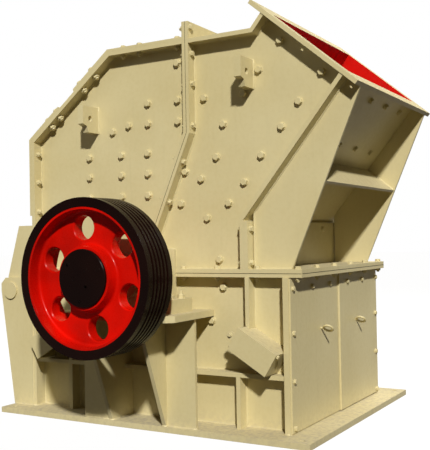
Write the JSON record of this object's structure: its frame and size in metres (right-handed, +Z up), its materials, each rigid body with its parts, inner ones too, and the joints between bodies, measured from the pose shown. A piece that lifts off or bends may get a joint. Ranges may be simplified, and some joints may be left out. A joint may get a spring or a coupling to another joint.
{
  "type": "impact crusher",
  "caption": "Stone-crushing machine with a welded plate housing, a tilted feed mouth, a belt-driven rotor and a rear housing that tilts back on a hinge.",
  "frame": {"origin": "centre of the base plate's underside, in the middle of the foundation bolt pattern", "axes": "+Z up, +X towards the feed end along the length, -Y towards the belt pulley"},
  "size_m": [3.0416, 2.822, 2.908],
  "materials": {
    "cream_paint": "semi-gloss cream enamel over welded plate",
    "red_paint": "glossy red enamel",
    "black_paint": "glossy black enamel on cast iron",
    "machined_steel": "turned, lightly oiled",
    "primed_iron": "matt red-brown primer",
    "wear_iron": "as cast"
  },
  "bodies": {
    "frame": {"base_plate": "cream_paint", "lower_side_drive": "cream_paint", "lower_side_far": "cream_paint", "feed_end_frame": "cream_paint", "rear_end_plate": "cream_paint", "feed_door_drive": "cream_paint", "feed_door_far": "cream_paint", "door_rings": "cream_paint", "side_rails": "cream_paint", "side_posts": "cream_paint", "lower_flange_feed": "cream_paint", "lower_flange_rear": "cream_paint", "upper_flange_feed": "cream_paint", "split_flange_feed": "cream_paint", "feed_roof": "cream_paint", "feed_neck": "cream_paint", "feed_incline": "cream_paint", "feed_wall": "cream_paint", "feed_wall_cover": "cream_paint", "feed_side_drive": "cream_paint", "feed_side_far": "cream_paint", "mouth_flange": "cream_paint", "cheeks": "cream_paint", "cheek_shelf": "cream_paint", "seal_boxes": "cream_paint", "bearing_seats": "cream_paint", "bearing_gussets": "cream_paint", "bearing_front_plates": "cream_paint", "bearing_drive": "cream_paint", "bearing_far": "cream_paint", "hinge_lugs": "cream_paint", "hinge_pins": "cream_paint", "cover_boxes": "cream_paint", "lifting_eyes_feed": "cream_paint"},
    "rear_housing": {"upper_flange_rear": "cream_paint", "split_flange_rear": "cream_paint", "rear_wall": "cream_paint", "rear_incline": "cream_paint", "rear_roof": "cream_paint", "rear_side_drive": "cream_paint", "rear_side_far": "cream_paint", "rear_cover_lower": "cream_paint", "rear_cover_upper": "cream_paint", "hinge_arms": "cream_paint", "lifting_eyes_rear": "cream_paint"},
    "rotor": {"shaft": "machined_steel", "rotor_tube": "primed_iron", "rotor_discs": "primed_iron", "blow_bars": "wear_iron", "pulley_rim": "black_paint", "pulley_disc": "red_paint", "hub_cap": "black_paint"}
  },
  "joints": [
    {"name": "rear_housing_open", "type": "hinge", "parent": "frame", "child": "rear_housing", "pos_m": [-1.339, 0, 0.934], "axis": [0, -1, 0], "range_deg": [0, 65]},
    {"name": "rotor_spin", "type": "hinge", "parent": "frame", "child": "rotor", "pos_m": [-0.012, 0, 1.077], "axis": [0, 1, 0], "continuous": true}
  ]
}
